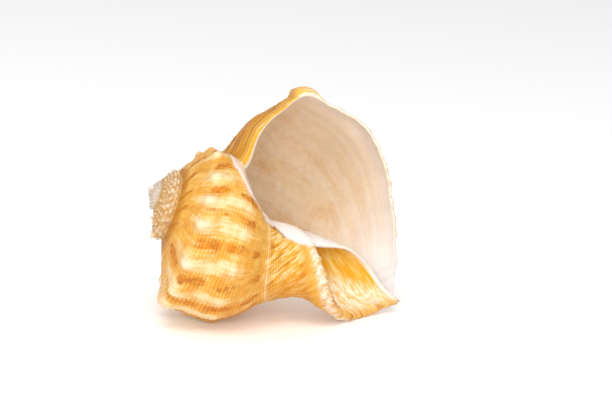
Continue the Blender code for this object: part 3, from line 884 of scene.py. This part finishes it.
class Shading:
    """The nodes of one material. Values, sockets and codes of colours can all be given to every step."""

    def __init__(self, name, roughness):
        self.material = bpy.data.materials.new(name)
        self.material.use_nodes = True
        self.tree = self.material.node_tree
        self.surface = self.tree.nodes["Principled BSDF"]
        self.surface.inputs["Roughness"].default_value = roughness
        self.surface.inputs["Specular IOR Level"].default_value = SPECULAR

    def feed(self, socket, value):
        if isinstance(value, bpy.types.NodeSocket):
            self.tree.links.new(value, socket)
        elif isinstance(value, str):
            socket.default_value = colour(value)
        else:
            socket.default_value = value

    def field(self, name):
        """The three numbers of a field of the mesh."""
        read = self.tree.nodes.new("ShaderNodeAttribute")
        read.attribute_name = name
        split = self.tree.nodes.new("ShaderNodeSeparateXYZ")
        self.feed(split.inputs[0], read.outputs["Vector"])
        return split.outputs

    def math(self, operation, a, b=0.0, c=0.0, clamp=False):
        node = self.tree.nodes.new("ShaderNodeMath")
        node.operation = operation
        node.use_clamp = clamp
        for socket, value in zip(node.inputs, (a, b, c)):
            self.feed(socket, value)
        return node.outputs[0]

    def times(self, *parts):
        return reduce(lambda a, b: self.math("MULTIPLY", a, b), parts)

    def plus(self, *parts):
        return reduce(lambda a, b: self.math("ADD", a, b), parts)

    def swing(self, noise, size):
        """A noise about its middle, times a size."""
        return self.times(self.plus(noise, -0.5), size)

    def noise(self, across, around, grain, detail, roughness=0.5):
        """Noise over the surface. Its grain is the cells in a step across and around, and an offset."""
        cells = self.tree.nodes.new("ShaderNodeCombineXYZ")
        position = self.times(across, grain[0]), self.times(around, grain[1]), grain[2]
        for socket, value in zip(cells.inputs, position):
            self.feed(socket, value)
        node = self.tree.nodes.new("ShaderNodeTexNoise")
        self.feed(node.inputs["Vector"], cells.outputs[0])
        node.inputs["Scale"].default_value = 1
        node.inputs["Detail"].default_value = detail
        node.inputs["Roughness"].default_value = roughness
        return node.outputs[0]

    def step(self, value, low, high, to_low=0.0, to_high=1.0):
        """Smooth step of a value from one range to another."""
        node = self.tree.nodes.new("ShaderNodeMapRange")
        node.interpolation_type = "SMOOTHSTEP"
        for socket, number in zip(node.inputs, (value, low, high, to_low, to_high)):
            self.feed(socket, number)
        return node.outputs[0]

    def mix(self, share, a, b):
        """The first colour, with the second in its place by a share from 0 to 1."""
        node = self.tree.nodes.new("ShaderNodeMix")
        node.data_type = "RGBA"
        node.clamp_factor = True
        self.feed(node.inputs[0], share)
        self.feed(node.inputs[6], a)
        self.feed(node.inputs[7], b)
        return node.outputs[2]

    def paint(self, tone, over, share, strength):
        """A tone with another painted over it."""
        return self.mix(self.times(share, strength), tone, over)

    def bump(self, height, distance):
        node = self.tree.nodes.new("ShaderNodeBump")
        node.inputs["Strength"].default_value = 1
        node.inputs["Distance"].default_value = distance
        self.feed(node.inputs["Height"], height)
        self.feed(self.surface.inputs["Normal"], node.outputs[0])


def outside_material():
    """The outer skin: cream ribs, gold between them, streaks combed by the threads, and the white glaze."""
    s = Shading("shell_outside", 0.4)
    place, growth, length = s.field("grown")
    streak, rib, glaze = s.field("marks")
    age, ridge, funnel = s.field("zones")
    pale, slit_shadow, ramp = s.field("signs")

    # Grooves between the threads, and noise: each thread's own, broad, in growth lines, and cloudy
    turns = s.times(length, 1 / THREAD_SPACING)
    wave = s.math("COSINE", s.times(turns, 2 * pi))
    groove = s.times(s.math("MULTIPLY_ADD", wave, -0.5, 0.5), s.step(place, 11.4, 10.6))
    groove = s.times(groove, s.step(growth, -310.0, -215.0, 0.45, 1.0))
    thread = s.math("FLOOR", s.plus(turns, 0.5))
    own = s.noise(thread, growth, (7.31, 0.22, 0.0), 3)
    broad = s.noise(length, growth, (0.10, 0.08, 4.0), 3)
    lines = s.noise(length, growth, (0.06, 0.55, 9.0), 4, 0.62)
    cloudy = s.noise(length, growth, (0.22, 0.16, 15.0), 4, 0.6)

    # Gold ground, with cream on the ribs and the threads
    tone = s.mix(s.step(broad, 0.38, 0.62), DEEP_GOLD, GOLD)
    tone = s.paint(tone, LINE_OCHRE, s.step(lines, 0.48, 0.68), 0.45)
    tone = s.paint(tone, GROOVE_OCHRE, groove, 0.26)
    cream = s.plus(s.times(rib, 0.95), s.swing(broad, 1.9), s.swing(cloudy, 1.5))
    cream = s.plus(cream, s.swing(lines, -2.2), s.swing(own, 0.5))
    tone = s.paint(tone, CREAM, s.step(cream, 0.05, 1.15), 0.88)
    tone = s.paint(tone, THREAD_CREAM, s.math("SUBTRACT", 1.0, groove), 0.16)

    # Brown streaks, combed by the threads
    comb = s.plus(streak, s.swing(own, 0.9), s.swing(cloudy, 0.9), s.swing(lines, 0.9), s.times(groove, 0.22))
    brown = s.mix(s.step(own, 0.42, 0.66), ORANGE_BROWN, BROWN)
    tone = s.paint(tone, brown, s.step(comb, 0.30, 0.95), 0.9)

    # Tan spire, pale knobs and beads, and painted shade in brown along the suture
    early = s.mix(s.step(cloudy, 0.38, 0.62), SPIRE_TAN, SPIRE_BROWN)
    tone = s.paint(tone, early, s.step(growth, -395.0, -455.0), 0.7)
    tone = s.paint(tone, PALE_TIP, pale, 0.75)
    # Painted shade: the whorl next to the suture is browned where its crease lies in shade
    suture_shade = s.times(s.step(place, 1.0, 0.25), s.step(growth, -480.0, -400.0))
    tone = s.paint(tone, SUTURE_SHADE_BROWN, suture_shade, 0.75)

    # Striated ramp before the lip
    striated = s.mix(s.step(lines, 0.40, 0.60), RAMP_GOLD, RAMP_BROWN)
    striated = s.paint(striated, RAMP_YELLOW, s.step(growth, -9.5, -5.5), 0.75)
    tone = s.paint(tone, striated, ramp, 0.9)

    # Wavy bands on the neck, and painted shade in ochre over its last half turn, low on the shell
    bands = s.noise(length, growth, (0.09, 0.17, 12.0), 4, 0.62)
    neck = s.times(s.step(place, 6.6, 8.2), s.step(place, 11.2, 10.4))
    neck_tone = s.mix(s.step(bands, 0.40, 0.52), NECK_CREAM, NECK_GOLD)
    neck_tone = s.mix(s.step(bands, 0.53, 0.64), neck_tone, NECK_BROWN)
    # Painted shade: the neck is darker over its last half turn, low on the shell
    neck_tone = s.paint(neck_tone, NECK_SHADE_OCHRE, s.step(growth, -215.0, -190.0), 0.5)
    tone = s.paint(tone, neck_tone, neck, 0.75)

    # Worn first whorls, and the ivory ridge
    worn = s.mix(s.step(cloudy, 0.40, 0.64), WORN_WHITE, WORN_GREY)
    tone = s.paint(tone, worn, age, 0.85)
    ivory = s.mix(s.step(cloudy, 0.44, 0.62), IVORY, RIDGE_TAN)
    tone = s.paint(tone, ivory, ridge, 0.9)

    # Yellow funnel with a cream frill at its mouth, and a white rim at the lip
    yolk = s.noise(length, growth, (0.05, 0.10, 2.0), 4, 0.62)
    deep = s.mix(s.step(yolk, 0.34, 0.60), PALE_YOLK, YOLK)
    deep = s.paint(deep, DEEP_YOLK, s.step(place, 15.3, 17.2), 0.8)
    deep = s.paint(deep, DARK_YOLK, s.step(growth, -70.0, -110.0), 0.8)
    frill = s.mix(s.step(cloudy, 0.42, 0.62), FRILL_CREAM, FRILL_GOLD)
    frill_edge = s.math("MULTIPLY_ADD", growth, -0.022, 13.8)
    past_frill = s.math("SUBTRACT", s.plus(place, s.swing(lines, 2.6)), frill_edge)
    tone = s.mix(funnel, tone, s.mix(s.step(past_frill, -0.25, 0.35), frill, deep))
    rim = s.times(s.step(growth, -7.0, -3.5), s.step(place, 13.0, 13.6))
    tone = s.paint(tone, RIM_WHITE, rim, 0.9)

    # Glaze of the inner lip, beige on the wall behind its edge, and painted shadow in brown in the slit along
    # it
    glazed = s.math("MINIMUM", glaze, 1.0)
    tone = s.mix(glazed, tone, GLAZE_WHITE)
    tone = s.paint(tone, GLAZE_BEIGE, s.plus(glaze, -1.0), 0.85)
    # Painted shadow in the slit along the glaze's edge
    tone = s.paint(tone, SLIT_SHADOW_BROWN, slit_shadow, 0.95)

    # Pale edge of the lip, with brown dots at every second thread
    edge = s.step(s.plus(growth, s.step(place, 2.6, 3.6, 0.0, 0.55)), -0.7, -0.2)
    tone = s.paint(tone, EDGE_CREAM, edge, 0.85)
    teeth = s.math("COSINE", s.times(turns, pi))
    teeth = s.step(s.plus(teeth, s.swing(cloudy, 5.0)), 0.5, 1.5)
    dots = s.times(teeth, s.step(growth, -1.6, -0.9), s.step(place, 5.2, 5.8), s.step(place, 9.6, 8.6))
    tone = s.paint(tone, DOT_BROWN, dots, 0.55)
    s.feed(s.surface.inputs["Base Color"], tone)

    # Roughness and fine relief, both less under the glaze
    shine = s.plus(s.times(own, 0.16), s.times(glazed, -0.14))
    s.feed(s.surface.inputs["Roughness"], s.plus(shine, 0.38))
    fine = s.noise(length, growth, (1.9, 1.4, 5.0), 3, 0.6)
    height = s.plus(s.times(groove, -0.22), s.times(lines, 0.8))
    height = s.plus(s.times(height, s.math("SUBTRACT", 1.0, glaze, clamp=True)), s.times(fine, 0.35))
    s.bump(height, 0.0003)
    return s.material


def inside_material():
    """The lining: warm beige with tan stains, paler at the lip and towards the canal."""
    s = Shading("shell_inside", 0.3)
    growth, length = s.field("grown")[1:]
    stain = s.noise(length, growth, (0.060, 0.045, 1.0), 4, 0.6)
    cloud = s.noise(length, growth, (0.16, 0.13, 3.0), 4, 0.6)
    bands = s.noise(length, growth, (0.010, 0.14, 6.0), 2, 0.5)
    rings = s.noise(length, growth, (0.012, 0.55, 7.0), 3, 0.55)
    flecks = s.noise(length, growth, (0.42, 0.30, 17.0), 5, 0.7)
    rings_at_lip = s.times(s.step(growth, -34.0, -14.0), s.step(rings, 0.42, 0.62))

    tone = s.mix(s.step(stain, 0.38, 0.64), BEIGE, STAIN_TAN)
    tone = s.paint(tone, GREY_CLOUD, s.step(cloud, 0.48, 0.68), 0.45)
    tone = s.paint(tone, LIGHT_CLOUD, s.step(cloud, 0.50, 0.36), 0.30)
    tone = s.paint(tone, BAND_CREAM, s.step(bands, 0.45, 0.62), 0.28)
    tone = s.paint(tone, LIGHT_FLECK, s.step(flecks, 0.52, 0.66), 0.40)
    tone = s.paint(tone, DARK_FLECK, s.step(flecks, 0.44, 0.34), 0.30)
    tone = s.paint(tone, OUTER_BEIGE, s.step(growth, -52.0, -12.0), 0.50)
    tone = s.paint(tone, RING_BEIGE, rings_at_lip, 0.5)
    tone = s.paint(tone, LIP_WHITE, s.step(growth, -18.0, -2.0), 0.5)
    tone = s.paint(tone, CANAL_WHITE, s.step(length, 60.0, 92.0), 0.85)
    s.feed(s.surface.inputs["Base Color"], tone)
    s.feed(s.surface.inputs["Roughness"], s.plus(s.times(stain, 0.15), 0.24))
    lirae = s.math("COSINE", s.times(length, 2 * pi / MAIN_THREAD_SPACING))
    s.bump(s.plus(s.times(lirae, 0.25), s.times(bands, 0.7)), 0.0002)
    return s.material


def add_floor():
    bpy.ops.mesh.primitive_plane_add(size=FLOOR_SIZE)
    floor = bpy.context.active_object
    floor.name = "floor"
    paper = Shading("floor", 0.6)
    paper.surface.inputs["Base Color"].default_value = WHITE
    paper.surface.inputs["Emission Color"].default_value = WHITE
    paper.surface.inputs["Emission Strength"].default_value = FLOOR_GLOW
    floor.data.materials.append(paper.material)


def add_camera():
    data = bpy.data.cameras.new("camera")
    data.lens = LENS
    data.sensor_width = SENSOR
    camera = bpy.data.objects.new("camera", data)
    bpy.context.collection.objects.link(camera)
    camera.location = CAMERA_PLACE
    camera.rotation_euler = (pi / 2 - LOOKS_DOWN, ROLL, 0)
    bpy.context.scene.camera = camera


def add_lights():
    for name, location, size, power in LIGHTS:
        data = bpy.data.lights.new(name, "AREA")
        data.size = size
        data.energy = power
        light = bpy.data.objects.new(name, data)
        bpy.context.collection.objects.link(light)
        light.location = location
        light.rotation_euler = (-Vector(location)).to_track_quat("-Z", "Y").to_euler()
    world = bpy.data.worlds.new("studio")
    bpy.context.scene.world = world
    world.use_nodes = True
    world.node_tree.nodes["Background"].inputs["Color"].default_value = WHITE
    world.node_tree.nodes["Background"].inputs["Strength"].default_value = WORLD_STRENGTH
    bpy.context.scene.view_settings.view_transform = "Standard"


add_shell()
add_floor()
add_camera()
add_lights()
